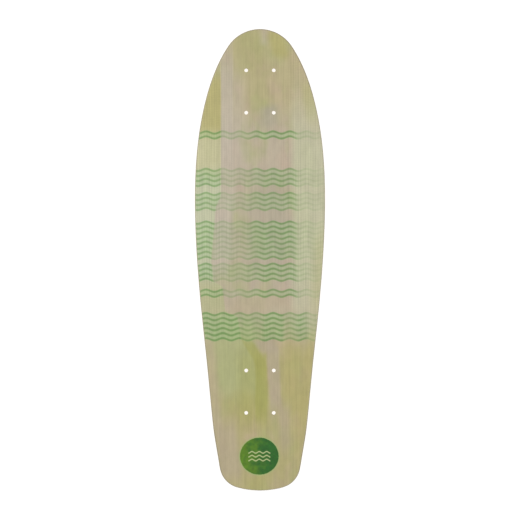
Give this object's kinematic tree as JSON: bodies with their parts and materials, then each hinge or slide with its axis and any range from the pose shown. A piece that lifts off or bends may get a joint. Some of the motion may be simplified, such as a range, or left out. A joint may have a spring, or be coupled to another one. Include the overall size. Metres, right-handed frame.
{
  "type": "skateboard deck",
  "caption": "Bare cruiser skateboard deck: bent laminated maple board with kicktail, raised rails, printed underside and truck bolt patterns drilled through.",
  "frame": {"origin": "the middle of the deck's length and width, at the height of its lowest point, the riding side of the kicktail's end", "axes": "+Y runs along the deck from the tail to the nose, +X across the deck, and +Z out of the printed underside, square to the level pads that the trucks bolt to"},
  "size_m": [0.195, 0.6921, 0.0335],
  "materials": {
    "printed_film": "thin clear film with a green printed wave pattern, satin lacquered",
    "maple_face": "clear satin lacquer over sanded maple, grain along the deck",
    "maple_inner": "sealed sanded edge, grain along the deck",
    "maple_crossband": "sealed sanded edge, grain across the deck",
    "wood_glue": "cured wood glue"
  },
  "bodies": {
    "root": {"print_film": "printed_film", "underside_face_veneer": "maple_face", "glue_line_1": "wood_glue", "underside_inner_veneer": "maple_inner", "glue_line_2": "wood_glue", "underside_crossband": "maple_crossband", "glue_line_3": "wood_glue", "core_veneer": "maple_inner", "glue_line_4": "wood_glue", "topside_crossband": "maple_crossband", "glue_line_5": "wood_glue", "topside_inner_veneer": "maple_inner", "glue_line_6": "wood_glue", "topside_face_veneer": "maple_face"}
  },
  "joints": []
}
